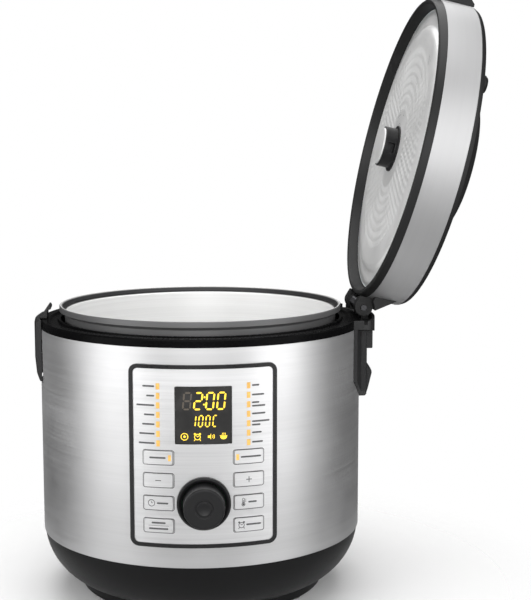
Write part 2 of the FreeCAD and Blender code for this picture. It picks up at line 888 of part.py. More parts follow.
def make_power_inlet():
    """Mains inlet at the back, low on the skin: shrouded socket with three pins."""
    inlet = new_body()
    pad(inlet, "XZ_Plane", [box_outline(-15, 62, 15, 86)], -136, 17)
    socket = [(-12, 66.5), (-9, 64.5), (9, 64.5), (12, 66.5), (12, 83.5), (-12, 83.5)]
    pocket(inlet, "XZ_Plane", [socket], -137, 14)
    keep(inlet, "power_inlet")
    pins = [Part.makeBox(2, 11, 6, vector(x - 1, 123, 70 + dz)) for x, dz in ((-7, 0), (0, 5), (7, 0))]
    solids(pins, "inlet_pins")


# ---- lid (drawn closed) -------------------------------------------------------------------

def make_lid_ring():
    """Black lower ring: the lip, the recess wall and the seat of the steel band."""
    bore = lip_r - D["lip_width"]
    base = D["band_bottom"]
    ring = lathe([
        (bore, lip_z + 0.8),
        (bore + 0.8, lip_z),
        (lip_r - 1.0, lip_z),
        (lip_r, lip_z + 1.0),
        (D["band_radius"] - 0.2, base),
        (band_in, base),
        (band_in, D["band_top"] - 3),
        (band_in - 2, D["band_top"] - 3),
        (band_in - 2, D["plate_rim"] + 5),
        (bore - 2.2, D["plate_rim"] + 5),
        (bore - 2.2, D["plate_rim"] + 2.6),
    ])
    pocket(ring, "XZ_Plane", [box_outline(-140, lip_z + 3.7, -124.4, lip_z + 9.6)], -13, 26)
    keep(ring, "lid_ring", OPENED)


def make_lid_band():
    """Brushed steel band round the lid, notched over the latch hook."""
    band = lathe([
        (band_in, D["band_bottom"]),
        (D["band_radius"], D["band_bottom"]),
        (D["band_radius"], D["band_top"]),
        (band_in, D["band_top"]),
    ])
    pocket(band, "XZ_Plane", [box_outline(-140, D["band_bottom"] - 1, -110, lip_z + 9.6)], -13, 26)
    keep(band, "lid_band", OPENED)


def make_lid_cover():
    """Black top cover: thin rim, shallow shoulder and a raised round platform."""
    top = D["band_top"]
    rim = D["cover_rim"]
    dome = D["dome_radius"]
    crown = top + D["dome_height"]
    valve_x = -D["valve_offset"]
    cover = lathe([
        (D["band_radius"], top),
        (D["band_radius"] - 0.3, top + 1.4),
        (rim, top + 3.8),
        (98, top + 9.0),
        (76, top + 15.0),
        (dome + 4, crown - 1.6),
        (dome, crown),
        (0, crown + 1.0),
        (0, crown - 1.2),
        (dome - 1, crown - 2.2),
        (dome + 2.6, crown - 3.6),
        (75, top + 12.8),
        (97.4, top + 6.8),
        (124, top + 1.6),
        (124, top - 3),
        (band_in - 2.2, top - 3),
        (band_in - 2.2, top),
    ])
    pad(cover, "XY_Plane", [("circle", valve_x, 0, 10.2)], top + 8, D["valve_seat"] - 8)
    pocket(cover, "XY_Plane", [("circle", valve_x, 0, 6.0)], top - 2, 40)
    pocket(cover, "XY_Plane", [("circle", valve_x, 0, 9.1)], top + D["valve_seat"], 15)
    keep(cover, "lid_cover", OPENED)


def make_lid_liner():
    """Moulded inner floor of the lid that the removable plate clips under."""
    level = D["plate_rim"] + 5
    liner = lathe([
        (9, level - 0.4),
        (118, level - 0.4),
        (118, level),
        (band_in - 2.4, level),
        (band_in - 2.4, level + 2),
        (9, level + 2),
    ])
    keep(liner, "lid_liner", OPENED)


def make_lid_hinge_cover():
    """Wedge behind the band with the two knuckles that turn on the hinge pin."""
    outer = D["band_radius"] + 0.1
    top = D["band_top"] + 2
    arm = new_body()
    wedge = [
        (110, 247), (hinge_x - 7.0, 244.6), (hinge_x - 4.2, 246.4), (hinge_x - 0.4, hinge_z + 7.9),
        (119.0, top), (110, top),
    ]
    pad(arm, "XZ_Plane", [wedge], -38, 76)
    knuckle = D["knuckle_radius"]
    side = [
        (116, lip_z + 1.2), (hinge_x - 9.0, lip_z + 0.4), (hinge_x - 2.8, hinge_z - 6.96, knuckle),
        (hinge_x + 2.4, hinge_z + 7.1), (hinge_x - 4.0, 248), (116, 250),
    ]
    for start in (-D["knuckle_outer"], D["knuckle_inner"]):
        pad(arm, "XZ_Plane", [side], start, D["knuckle_outer"] - D["knuckle_inner"])
    pocket(arm, "XY_Plane", [("circle", 0, 0, outer)], 225, 60)
    pocket(arm, "XZ_Plane", [("circle", hinge_x, hinge_z, pin_r + D["pin_clearance"])], -60, 120)
    keep(arm, "lid_hinge_cover", OPENED)


def make_lid_latch_cover():
    """Hood over the band at the latch side, hollow underneath for the hook."""
    hood = new_body()
    profile = [
        (-110, 238.2), (-137.6, 238.2), (-138.4, 239.2), (-138.0, 256), (-134.5, 268), (-130.5, 272.0),
        (-110, 272.0),
    ]
    pad(hood, "XZ_Plane", [profile], -19, 38)
    pocket(hood, "XY_Plane", [("circle", 0, 0, D["band_radius"] + 0.1)], 225, 60)
    pocket(hood, "XZ_Plane", [box_outline(-136.6, 230, -120, 245.4)], -14, 28)
    keep(hood, "lid_latch_cover", OPENED)


def make_inner_plate():
    """Removable aluminium plate: flat rim, step and gently dished middle."""
    rim = D["plate_rim"]
    centre = D["plate_centre"]
    plate = lathe([
        (8.1, centre),
        (96, centre + 0.6),
        (103, centre + 1.4),
        (107, rim + 0.6),
        (119.4, rim + 0.6),
        (119.4, rim + 1.4),
        (106.4, rim + 1.4),
        (102.6, centre + 2.2),
        (96, centre + 1.4),
        (8.1, centre + 0.8),
    ])
    keep(plate, "inner_plate", OPENED)


def make_lid_gasket():
    """Silicone seal clipped round the plate's edge; it meets the pot's rim."""
    rim = D["plate_rim"]
    gasket = lathe([
        (113.5, rim),
        (120.6, rim),
        (120.6, rim + 2.2),
        (117.5, rim + 2.2),
        (117.5, rim + 1.4),
        (119.4, rim + 1.4),
        (119.4, rim + 0.6),
        (113.5, rim + 0.6),
    ])
    keep(gasket, "lid_gasket", OPENED)


def make_plate_boss():
    """Black centre knob of the plate: the steam trap, with a side window and a metal end."""
    centre = D["plate_centre"]
    boss = lathe([
        (0, centre - 12.2),
        (16.6, centre - 12.2),
        (17.0, centre - 11.6),
        (17.0, centre - 2.4),
        (19.6, centre - 1.8),
        (19.6, centre),
        (8, centre),
        (8, centre + 7.2),
        (0, centre + 7.2),
    ])
    pocket(boss, "XZ_Plane", [box_outline(-4, centre - 9.6, 4, centre - 3.4)], 10, 12)
    keep(boss, "plate_boss", OPENED)
    disc = lathe([
        (0, centre - 13.4),
        (14.8, centre - 13.4),
        (15.6, centre - 12.8),
        (15.6, centre - 12.2),
        (0, centre - 12.2),
    ])
    keep(disc, "boss_disc", OPENED)


def make_steam_valve():
    """Lift-out steam cap in the shoulder of the lid's top, beside the platform."""
    top = D["band_top"]
    seat = top + D["valve_seat"] + 0.4
    crown = top + D["valve_height"]
    cap = lathe([
        (0, top - 1),
        (5.6, top - 1),
        (5.6, seat),
        (8.6, seat),
        (8.2, crown - 2.4),
        (6.4, crown - 0.4),
        (4.6, crown),
        (0, crown),
    ])
    shift = OPENED * FreeCAD.Placement(vector(-D["valve_offset"].value, 0, 0), FreeCAD.Rotation())
    keep(cap, "steam_valve_cap", shift)


make_base_shell()
make_bottom_plate()
make_feet()
make_bottom_screws()
make_body_skin()
make_deck()
make_pot_shield()
make_heater()
make_thermostat()
make_pot()
make_boards()
make_panel_frame()
make_panel_plate()
make_display()
make_lamps()
make_buttons()
make_knob()
make_latch_lever()
make_latch_bracket()
make_hinge_collar()
make_hinge_spring()
make_hinge_column()
make_condensate_cup()
make_power_inlet()
make_lid_ring()
make_lid_band()
make_lid_cover()
make_lid_liner()
make_lid_hinge_cover()
make_lid_latch_cover()
make_inner_plate()
make_lid_gasket()
make_plate_boss()
make_steam_valve()

doc.recompute()
for item in doc.Objects:
    if "Invalid" in item.State or "Error" in item.State:
        raise ValueError(f"{item.Label} did not build")
os.makedirs("parts", exist_ok=True)
for node in nodes:
    if node.Shape.isNull() or not node.Shape.isValid() or not node.Shape.Solids:
        raise ValueError(f"{node.Label} has no valid solid")
    node.Shape.exportStep(f"parts/{node.Label}.step")
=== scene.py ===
import json
import math
import bmesh
import bpy
from mathutils import Matrix, Vector


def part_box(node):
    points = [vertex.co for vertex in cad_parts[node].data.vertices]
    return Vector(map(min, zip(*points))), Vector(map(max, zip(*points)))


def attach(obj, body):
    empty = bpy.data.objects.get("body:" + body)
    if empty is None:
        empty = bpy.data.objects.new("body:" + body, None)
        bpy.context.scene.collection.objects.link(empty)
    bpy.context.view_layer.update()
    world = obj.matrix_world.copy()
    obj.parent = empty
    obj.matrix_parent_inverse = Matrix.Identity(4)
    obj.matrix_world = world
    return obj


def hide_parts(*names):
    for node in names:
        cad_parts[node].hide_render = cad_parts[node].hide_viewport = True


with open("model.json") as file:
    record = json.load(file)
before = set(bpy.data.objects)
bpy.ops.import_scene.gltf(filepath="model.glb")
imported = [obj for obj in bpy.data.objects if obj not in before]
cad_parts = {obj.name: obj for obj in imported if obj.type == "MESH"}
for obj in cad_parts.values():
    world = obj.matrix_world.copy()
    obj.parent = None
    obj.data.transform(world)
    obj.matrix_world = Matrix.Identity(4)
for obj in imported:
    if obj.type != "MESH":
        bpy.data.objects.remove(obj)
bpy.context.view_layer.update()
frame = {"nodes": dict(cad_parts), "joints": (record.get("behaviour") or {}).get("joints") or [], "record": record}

# Looks of the multicooker round its CAD frame. Metres; +Z up, the control panel faces -Y.

MM = 0.001
nodes = frame["nodes"]
joints = {joint["name"]: joint for joint in frame["joints"]}


# ---- places read from the frame --------------------------------------------------------------

def reach(node):
    """The largest distance of a node from the body axis."""
    return max(math.hypot(v.co.x, v.co.y) for v in nodes[node].data.vertices)


def middle(node):
    low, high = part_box(node)
    return (Vector(low) + Vector(high)) / 2


def span(node):
    low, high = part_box(node)
    return Vector(high) - Vector(low)


knob_axis = Vector(joints["knob_turn"]["axis"])
panel_turn = math.atan2(knob_axis.x, -knob_axis.y)
panel_face = reach("panel_plate")
lid_joint = joints["lid_hinge"]
lid_pivot = Vector(lid_joint["pos_m"])
lid_open = -math.radians(lid_joint["range_deg"][0])
lid_swing = Matrix.Rotation(lid_open, 4, "Y")
lid_turn = Matrix.Translation(lid_pivot) @ lid_swing @ Matrix.Translation(-lid_pivot)


def panel_arc(node):
    """How far along the panel's curve a node's middle lies from the panel's middle."""
    place = middle(node)
    return (math.atan2(place.x, -place.y) - panel_turn) * panel_face


# ---- materials -------------------------------------------------------------------------------

class Finish:
    """A Principled material whose node tree is built step by step."""

    def __init__(self, name, color, metallic=0.0, roughness=0.5, **sockets):
        self.material = bpy.data.materials.new(name)
        self.material.use_nodes = True
        self.tree = self.material.node_tree
        self.shader = self.tree.nodes["Principled BSDF"]
        self.color = color
        self.set("Base Color", (*color, 1.0))
        self.set("Metallic", metallic)
        self.set("Roughness", roughness)
        for socket, value in sockets.items():
            self.set(socket.replace("_", " "), value)
        coordinates = self.node("ShaderNodeTexCoord")
        self.place = coordinates.outputs["Object"]

    def set(self, socket, value):
        self.shader.inputs[socket].default_value = value

    def node(self, kind, **settings):
        made = self.tree.nodes.new(kind)
        for name, value in settings.items():
            setattr(made, name, value)
        return made

    def join(self, source, target):
        self.tree.links.new(source, target)

    def math(self, operation, first, second=0.0, third=0.0):
        made = self.node("ShaderNodeMath", operation=operation)
        for socket, value in zip(made.inputs, (first, second, third)):
            if isinstance(value, (int, float)):
                socket.default_value = value
            else:
                self.join(value, socket)
        return made.outputs[0]

    def vector(self, operation, first, second=(0.0, 0.0, 0.0)):
        made = self.node("ShaderNodeVectorMath", operation=operation)
        for socket, value in zip(made.inputs, (first, second)):
            if isinstance(value, (tuple, Vector)):
                socket.default_value = value
            else:
                self.join(value, socket)
        return made.outputs["Value" if operation in ("LENGTH", "DOT_PRODUCT") else "Vector"]

    def noise(self, scale, place=None, detail=3.0):
        made = self.node("ShaderNodeTexNoise")
        made.inputs["Scale"].default_value = scale
        made.inputs["Detail"].default_value = detail
        self.join(place or self.place, made.inputs["Vector"])
        return made.outputs["Fac"]

    def between(self, value, low, high, start=0.3, end=0.7):
        """A value stretched from start..end to low..high."""
        made = self.node("ShaderNodeMapRange")
        for socket, number in zip(made.inputs[1:5], (start, end, low, high)):
            socket.default_value = number
        self.join(value, made.inputs[0])
        return made.outputs[0]

    def mix(self, factor, first, second):
        """A blend of two colours; each is a socket or three numbers."""
        made = self.node("ShaderNodeMix", data_type="RGBA")
        self.join(factor, made.inputs[0])
        for socket, value in zip(made.inputs[6:8], (first, second)):
            if isinstance(value, tuple):
                socket.default_value = (*value, 1.0)
            else:
                self.join(value, socket)
        return made.outputs[2]

    def tint(self, factor, low, high):
        """Base colour between low and high times the finish's own colour."""
        shades = [tuple(min(1.0, part * amount) for part in self.color) for amount in (low, high)]
        return self.mix(factor, *shades)

    def rounded(self, radius):
        """A normal that rounds sharp edges, as a moulding or a deburred sheet has."""
        made = self.node("ShaderNodeBevel", samples=4)
        made.inputs["Radius"].default_value = radius
        return made.outputs[0]

    def bump(self, height, distance, strength=1.0, normal=None):
        made = self.node("ShaderNodeBump")
        made.inputs["Distance"].default_value = distance
        made.inputs["Strength"].default_value = strength
        self.join(height, made.inputs["Height"])
        if normal is not None:
            self.join(normal, made.inputs["Normal"])
        return made.outputs[0]

    def edge_mask(self, normal):
        """One where the rounded normal leaves the true one, which is along worn edges."""
        geometry = self.node("ShaderNodeNewGeometry")
        same = self.vector("DOT_PRODUCT", normal, geometry.outputs["Normal"])
        return self.between(same, 1.0, 0.0, 0.75, 0.995)

    def use(self, socket, source):
        self.join(source, self.shader.inputs[socket])


def closed_lid_place(finish):
    """Object coordinates turned back to the closed lid, whose axis is the body's axis."""
    made = finish.node("ShaderNodeVectorRotate", rotation_type="Y_AXIS")
    made.inputs["Center"].default_value = lid_pivot
    made.inputs["Angle"].default_value = -lid_open
    finish.join(finish.place, made.inputs["Vector"])
    return made.outputs[0]


def turned_place(finish, place, along, across):
    """Coordinates that run slowly round the Z axis and fast across it, as a lathe's marks do."""
    split = finish.node("ShaderNodeSeparateXYZ")
    finish.join(place, split.inputs[0])
    flat = finish.vector("MULTIPLY", place, (1.0, 1.0, 0.0))
    radius = finish.vector("LENGTH", flat)
    height = finish.math("ADD", finish.math("MULTIPLY", split.outputs["Z"], across),
                         finish.math("MULTIPLY", radius, across))
    joined = finish.node("ShaderNodeCombineXYZ")
    finish.join(finish.math("MULTIPLY", split.outputs["X"], along), joined.inputs["X"])
    finish.join(finish.math("MULTIPLY", split.outputs["Y"], along), joined.inputs["Y"])
    finish.join(height, joined.inputs["Z"])
    return joined.outputs[0]


def brushed_metal(name, color, roughness, lid=False, spread=0.6, contrast=0.06):
    """Sheet metal brushed round the axis: fine grain, broader streaks and faint smudges."""
    finish = Finish(name, color, 1.0, roughness, Anisotropic=spread)
    place = closed_lid_place(finish) if lid else finish.place
    fine = finish.noise(1.0, turned_place(finish, place, 9.0, 2600.0))
    broad = finish.noise(1.0, turned_place(finish, place, 5.0, 420.0))
    smudge = finish.noise(16.0)
    fine_share = finish.math("MULTIPLY", fine, 0.55)
    broad_share = finish.math("MULTIPLY", broad, 0.45)
    streak = finish.between(finish.math("ADD", fine_share, broad_share), 0.0, 1.0)
    finish.use("Base Color", finish.tint(streak, 1.0 - contrast, 1.0 + contrast))
    rough = finish.math("ADD", finish.between(fine, roughness - 0.05, roughness + 0.05),
                        finish.between(smudge, -0.025, 0.04))
    finish.use("Roughness", rough)
    finish.use("Normal", finish.bump(fine, 0.02 * MM, 0.35, finish.rounded(0.25 * MM)))
    around = finish.vector("CROSS_PRODUCT", (0.0, 0.0, 1.0), place)
    if lid:
        back = finish.node("ShaderNodeVectorRotate", rotation_type="Y_AXIS")
        back.inputs["Angle"].default_value = lid_open
        finish.join(around, back.inputs["Vector"])
        around = back.outputs[0]
    world = finish.node(
        "ShaderNodeVectorTransform", vector_type="VECTOR", convert_from="OBJECT", convert_to="WORLD",
    )
    finish.join(around, world.inputs[0])
    finish.use("Tangent", finish.vector("NORMALIZE", world.outputs[0]))
    return finish


def moulded_plastic(name, color, roughness, grain=1600.0, depth=0.03, edge=0.45, gloss=0.22):
    """Moulded plastic: spark-eroded texture, uneven sheen and edges rubbed a little lighter."""
    finish = Finish(name, color, 0.0, roughness, Specular_IOR_Level=gloss)
    texture = finish.noise(grain, detail=2.0)
    cloud = finish.noise(22.0)
    rounded = finish.rounded(edge * MM)
    worn = finish.edge_mask(rounded)
    shade = finish.tint(finish.between(cloud, 0.0, 1.0), 0.92, 1.1)
    lighter = tuple(min(1.0, part * 1.8 + 0.006) for part in color)
    finish.use("Base Color", finish.mix(finish.math("MULTIPLY", worn, 0.55), shade, lighter))
    rough = finish.math("ADD", finish.between(texture, roughness - 0.04, roughness + 0.05),
                        finish.between(cloud, -0.015, 0.02))
    finish.use("Roughness", finish.math("SUBTRACT", rough, finish.math("MULTIPLY", worn, 0.06)))
    finish.use("Normal", finish.bump(texture, depth * MM, 0.5, rounded))
    return finish


def pot_metal():
    """Spun pot: pale satin coating inside, greyer outside, and a rim band painted dark as a reflection."""
    finish = Finish("pot_metal", (0.84, 0.84, 0.835), 0.35, 0.42, Specular_IOR_Level=0.15)
    rings = finish.noise(1.0, turned_place(finish, finish.place, 4.0, 900.0))
    speckle = finish.noise(900.0)
    split = finish.node("ShaderNodeSeparateXYZ")
    finish.join(finish.place, split.inputs[0])
    low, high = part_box("inner_pot")
    painted_reflection_height = finish.between(split.outputs["Z"], 0.0, 1.0, high[2] - 5.2 * MM, high[2] - 4.4 * MM)
    flat = finish.vector("MULTIPLY", finish.place, (1.0, 1.0, 0.0))
    radius = finish.vector("LENGTH", flat)
    painted_reflection_radius = finish.between(radius, 1.0, 0.0, high[0] - 2.6 * MM, high[0] - 1.2 * MM)
    surface = finish.node("ShaderNodeNewGeometry")
    facing = finish.vector("DOT_PRODUCT", finish.vector("NORMALIZE", flat), surface.outputs["Normal"])
    outside = finish.between(facing, 0.0, 1.0, 0.1, 0.4)
    pale = finish.tint(finish.between(rings, 0.0, 1.0), 0.97, 1.03)
    grey = finish.mix(outside, pale, (0.13, 0.13, 0.131))
    # Painted reflection: the top rim band is painted near black in place of the dark surround the bare rim
    # reflects.
    finish.use("Base Color", finish.mix(finish.math("MULTIPLY", painted_reflection_height, painted_reflection_radius), grey, (0.03, 0.03, 0.031)))
    ring_sheen = finish.between(rings, 0.36, 0.46)
    finish.use("Roughness", finish.math("ADD", ring_sheen, finish.between(speckle, -0.03, 0.03)))
    finish.use("Normal", finish.bump(rings, 0.05 * MM, 0.25, finish.rounded(0.4 * MM)))
    return finish


def pressed_aluminium(name, lid):
    """Satin aluminium sheet with faint rolling lines and cleaning marks."""
    finish = Finish(name, (0.86, 0.86, 0.855), 0.35, 0.42)
    place = closed_lid_place(finish) if lid else finish.place
    rings = finish.noise(1.0, turned_place(finish, place, 14.0, 700.0))
    cloud = finish.noise(35.0, place)
    finish.use("Base Color", finish.tint(finish.between(cloud, 0.0, 1.0), 0.93, 1.05))
    ring_sheen = finish.between(rings, 0.28, 0.38)
    finish.use("Roughness", finish.math("ADD", ring_sheen, finish.between(cloud, -0.03, 0.05)))
    finish.use("Normal", finish.bump(rings, 0.03 * MM, 0.3, finish.rounded(0.3 * MM)))
    return finish


def machined_metal(name, color, roughness):
    """Cast or turned metal that shows lathe rings and small pits."""
    finish = Finish(name, color, 1.0, roughness)
    rings = finish.noise(1.0, turned_place(finish, finish.place, 6.0, 1200.0))
    pits = finish.noise(600.0)
    finish.use("Base Color", finish.tint(finish.between(pits, 0.0, 1.0), 0.8, 1.1))
    finish.use("Roughness", finish.between(rings, roughness - 0.08, roughness + 0.08))
    finish.use("Normal", finish.bump(rings, 0.06 * MM, 0.4, finish.rounded(0.3 * MM)))
    return finish


def zinc_sheet():
    """Galvanised steel with its crystal flakes."""
    finish = Finish("galvanised_steel", (0.52, 0.53, 0.55), 1.0, 0.38)
    flakes = finish.node("ShaderNodeTexVoronoi")
    flakes.inputs["Scale"].default_value = 140.0
    finish.join(finish.place, flakes.inputs["Vector"])
    tone = finish.node("ShaderNodeSeparateColor")
    finish.join(flakes.outputs["Color"], tone.inputs[0])
    finish.use("Base Color", finish.tint(tone.outputs[0], 0.8, 1.15))
    finish.use("Roughness", finish.between(tone.outputs[1], 0.28, 0.5, 0.0, 1.0))
    finish.use("Normal", finish.bump(finish.noise(900.0), 0.03 * MM, 0.3, finish.rounded(0.25 * MM)))
    return finish


def rubber(name, color, roughness, **sockets):
    finish = Finish(name, color, 0.0, roughness, **sockets)
    dust = finish.noise(60.0)
    grain = finish.noise(1400.0)
    finish.use("Base Color", finish.tint(finish.between(dust, 0.0, 1.0), 0.85, 1.25))
    finish.use("Roughness", finish.between(dust, roughness - 0.06, roughness + 0.06))
    finish.use("Normal", finish.bump(grain, 0.05 * MM, 0.4, finish.rounded(0.5 * MM)))
    return finish


def display_glass():
    """Smoked window: dark, glossy, with a faint film of dust that dulls it unevenly."""
    finish = Finish("display_glass", (0.016, 0.0155, 0.015), 0.0, 0.2, Coat_Weight=0.2)
    film = finish.noise(90.0)
    finish.use("Base Color", finish.tint(finish.between(film, 0.0, 1.0), 0.85, 1.25))
    finish.use("Roughness", finish.between(film, 0.12, 0.24))
    finish.use("Normal", finish.rounded(0.3 * MM))
    return finish


def amber(name, color, glow):
    """Lit amber plastic, a little uneven where the lamp behind is nearer."""
    finish = Finish(name, color, 0.0, 0.4, Emission_Strength=glow)
    uneven = finish.noise(500.0)
    lit = finish.tint(finish.between(uneven, 0.0, 1.0), 0.82, 1.12)
    finish.use("Base Color", lit)
    finish.use("Emission Color", lit)
    finish.use("Roughness", finish.between(uneven, 0.3, 0.5))
    return finish


def ink(name, color):
    """Screen-printed ink with a slightly rough film."""
    finish = Finish(name, color, 0.0, 0.45)
    film = finish.noise(1500.0)
    finish.use("Base Color", finish.tint(finish.between(film, 0.0, 1.0), 0.8, 1.25))
    finish.use("Roughness", finish.between(film, 0.38, 0.55))
    finish.use("Normal", finish.bump(film, 0.01 * MM, 0.4))
    return finish


def board_laminate():
    finish = Finish("board_green", (0.035, 0.16, 0.075), 0.0, 0.35, Coat_Weight=0.3)
    weave = finish.noise(1200.0)
    finish.use("Base Color", finish.tint(finish.between(weave, 0.0, 1.0), 0.8, 1.2))
    finish.use("Roughness", finish.between(weave, 0.28, 0.45))
    finish.use("Normal", finish.bump(weave, 0.02 * MM, 0.4, finish.rounded(0.2 * MM)))
    return finish


finishes = {
    "bowl_plastic": moulded_plastic("bowl_plastic", (0.005, 0.005, 0.0053), 0.40, gloss=0.13),
    "deck_plastic": moulded_plastic(
        "deck_plastic", (0.003, 0.003, 0.0032), 0.26, 500.0, 0.002, gloss=0.03,
    ),
    "lid_plastic": moulded_plastic("lid_plastic", (0.014, 0.014, 0.0143), 0.40),
    "hinge_plastic": moulded_plastic("hinge_plastic", (0.018, 0.018, 0.0185), 0.38),
    "latch_plastic": moulded_plastic("latch_plastic", (0.018, 0.018, 0.0185), 0.36),
    "cup_plastic": moulded_plastic("cup_plastic", (0.020, 0.020, 0.0205), 0.42),
    "panel_black": moulded_plastic("panel_black", (0.012, 0.012, 0.0125), 0.30, 500.0, 0.008),
    "knob_black": moulded_plastic("knob_black", (0.010, 0.010, 0.0105), 0.36, 1200.0, 0.015, 0.7),
    "brushed_steel": brushed_metal("brushed_steel", (0.58, 0.58, 0.584), 0.38, contrast=0.05),
    "lid_steel": brushed_metal("lid_steel", (0.52, 0.52, 0.524), 0.44, True, 0.3, 0.03),
    "panel_silver": brushed_metal("panel_silver", (0.70, 0.70, 0.705), 0.42, contrast=0.09),
    "button_silver": brushed_metal("button_silver", (0.74, 0.74, 0.745), 0.42, contrast=0.08),
    "pot_metal": pot_metal(),
    "plate_metal": pressed_aluminium("plate_metal", True),
    "heater_metal": machined_metal("heater_metal", (0.55, 0.55, 0.56), 0.42),
    # Steel painted nearly black: painted shade for the hinge's shaded inside, not the pin steel's own colour.
    "hinge_steel_painted_shade": machined_metal("hinge_steel_painted_shade", (0.07, 0.07, 0.074), 0.34),
    "pin_steel": machined_metal("pin_steel", (0.60, 0.60, 0.61), 0.24),
    "brass_pins": machined_metal("brass_pins", (0.75, 0.58, 0.28), 0.28),
    "galvanised_steel": zinc_sheet(),
    "rubber_feet": rubber("rubber_feet", (0.03, 0.03, 0.03), 0.7),
    "seal_silicone": rubber("seal_silicone", (0.72, 0.72, 0.71), 0.4, Subsurface_Weight=0.15),
    "display_glass": display_glass(),
    "lamp_amber": amber("lamp_amber", (0.62, 0.36, 0.09), 0.45),
    "digit_amber": amber("digit_amber", (0.95, 0.62, 0.04), 0.7),
    "digit_unlit": ink("digit_unlit", (0.075, 0.060, 0.045)),
    "panel_ink": ink("panel_ink", (0.075, 0.075, 0.077)),
    "board_green": board_laminate(),
}


def dress(thing, finish):
    """Gives an object one finish in every material slot."""
    thing.data.materials.clear()
    thing.data.materials.append(finishes[finish].material)


# The hinge pin and spring take the steel painted dark as shade.
SPECIAL = {"lid_band": "lid_steel", "hinge_pin": "hinge_steel_painted_shade", "hinge_spring": "hinge_steel_painted_shade"}
for part in frame["record"]["subparts"]:
    dress(nodes[part["node"]], SPECIAL.get(part["node"], part["material_slot"]))


# ---- marks on the control panel --------------------------------------------------------------

class Print:
    """Thin raised marks that follow the panel's curve. Flat lengths are in millimetres from the
    print's own middle: across to the right and up."""

    RAISED = 0.05 * MM
    SUNK = 0.03 * MM
    STEP = 1.5

    def __init__(self, arc, height, radius):
        self.arc = arc
        self.height = height
        self.radius = radius
        self.mesh = bmesh.new()

    def point(self, across, up, radius):
        angle = panel_turn + (self.arc + across * MM) / panel_face
        return Vector((radius * math.sin(angle), -radius * math.cos(angle), self.height + up * MM))

    def shape(self, corners):
        """A filled outline, listed anticlockwise, with short walls down to the surface."""
        outer = self.radius + self.RAISED
        inner = self.radius - self.SUNK
        front = [self.mesh.verts.new(self.point(*corner, outer)) for corner in corners]
        back = [self.mesh.verts.new(self.point(*corner, inner)) for corner in corners]
        self.mesh.faces.new(front)
        self.mesh.faces.new(back[::-1])
        for number, vertex in enumerate(front):
            following = (number + 1) % len(front)
            self.mesh.faces.new((vertex, back[number], back[following], front[following]))

    def bar(self, left, bottom, right, top):
        """A rectangle, cut into short stretches so that it follows the curve."""
        count = max(1, math.ceil((right - left) / self.STEP))
        for number in range(count):
            start = left + (right - left) * number / count
            end = left + (right - left) * (number + 1) / count
            self.shape([(start, bottom), (end, bottom), (end, top), (start, top)])

    def word(self, left, right, up, tall=1.35):
        """A plain bar with rounded ends that stands where a word would be."""
        half = tall / 2
        self.bar(left + half, up - half, right - half, up + half)
        for side, place in ((-1, left + half), (1, right - half)):
            turns = [side * math.radians(step) for step in (-90, -45, 0, 45, 90)]
            cap = [(place + side * half * math.cos(t), up + half * math.sin(t)) for t in turns]
            self.shape(cap if side > 0 else cap[::-1])

    def line(self, start, end, wide):
        """A straight stroke from one point to another."""
        run = Vector(end) - Vector(start)
        side = Vector((-run.y, run.x)).normalized() * wide / 2
        corners = [Vector(start) - side, Vector(end) - side, Vector(end) + side, Vector(start) + side]
        self.shape([tuple(corner) for corner in corners])

    def ring(self, across, up, radius, wide, start=0.0, sweep=360.0):
        """A circular stroke, or part of one."""
        count = max(6, int(sweep / 15))
        inside = radius - wide
        for number in range(count):
            turns = [math.radians(start + sweep * (number + part) / count) for part in (0, 1)]
            outer = [(across + radius * math.cos(t), up + radius * math.sin(t)) for t in turns]
            inner = [(across + inside * math.cos(t), up + inside * math.sin(t)) for t in turns]
            self.shape([inner[0], outer[0], outer[1], inner[1]])

    def dot(self, across, up, radius):
        turns = [math.radians(30 * number) for number in range(12)]
        self.shape([(across + radius * math.cos(t), up + radius * math.sin(t)) for t in turns])

    def frame(self, wide, tall, corner, line):
        """A rounded rectangular outline round the print's middle."""
        x, y = wide / 2, tall / 2
        for side in (-1, 1):
            level = side * (y - line / 2)
            self.bar(-x + corner, level - line / 2, x - corner, level + line / 2)
            edge = side * (x - line / 2)
            self.bar(edge - line / 2, -y + corner, edge + line / 2, y - corner)
        for right, over, start in ((1, 1, 0), (-1, 1, 90), (-1, -1, 180), (1, -1, 270)):
            self.ring(right * (x - corner), over * (y - corner), corner, line, start, 90)

    def finish(self, name, finish, body):
        mesh = bpy.data.meshes.new(name)
        bmesh.ops.recalc_face_normals(self.mesh, faces=self.mesh.faces)
        self.mesh.to_mesh(mesh)
        self.mesh.free()
        piece = bpy.data.objects.new(name, mesh)
        bpy.context.scene.collection.objects.link(piece)
        dress(piece, finish)
        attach(piece, body)
        return piece


SEGMENTS = {
    "top": ((0, 1), (1, 1)),
    "upper_left": ((0, 1), (0, 0.5)),
    "upper_right": ((1, 1), (1, 0.5)),
    "middle": ((0, 0.5), (1, 0.5)),
    "lower_left": ((0, 0.5), (0, 0)),
    "lower_right": ((1, 0.5), (1, 0)),
    "bottom": ((0, 0), (1, 0)),
}
LIT = {
    "0": ("top", "upper_left", "upper_right", "lower_left", "lower_right", "bottom"),
    "1": ("upper_left", "lower_left"),
    "2": ("top", "upper_right", "middle", "lower_left", "bottom"),
    "8": tuple(SEGMENTS),
    "C": ("top", "upper_left", "lower_left", "bottom"),
}


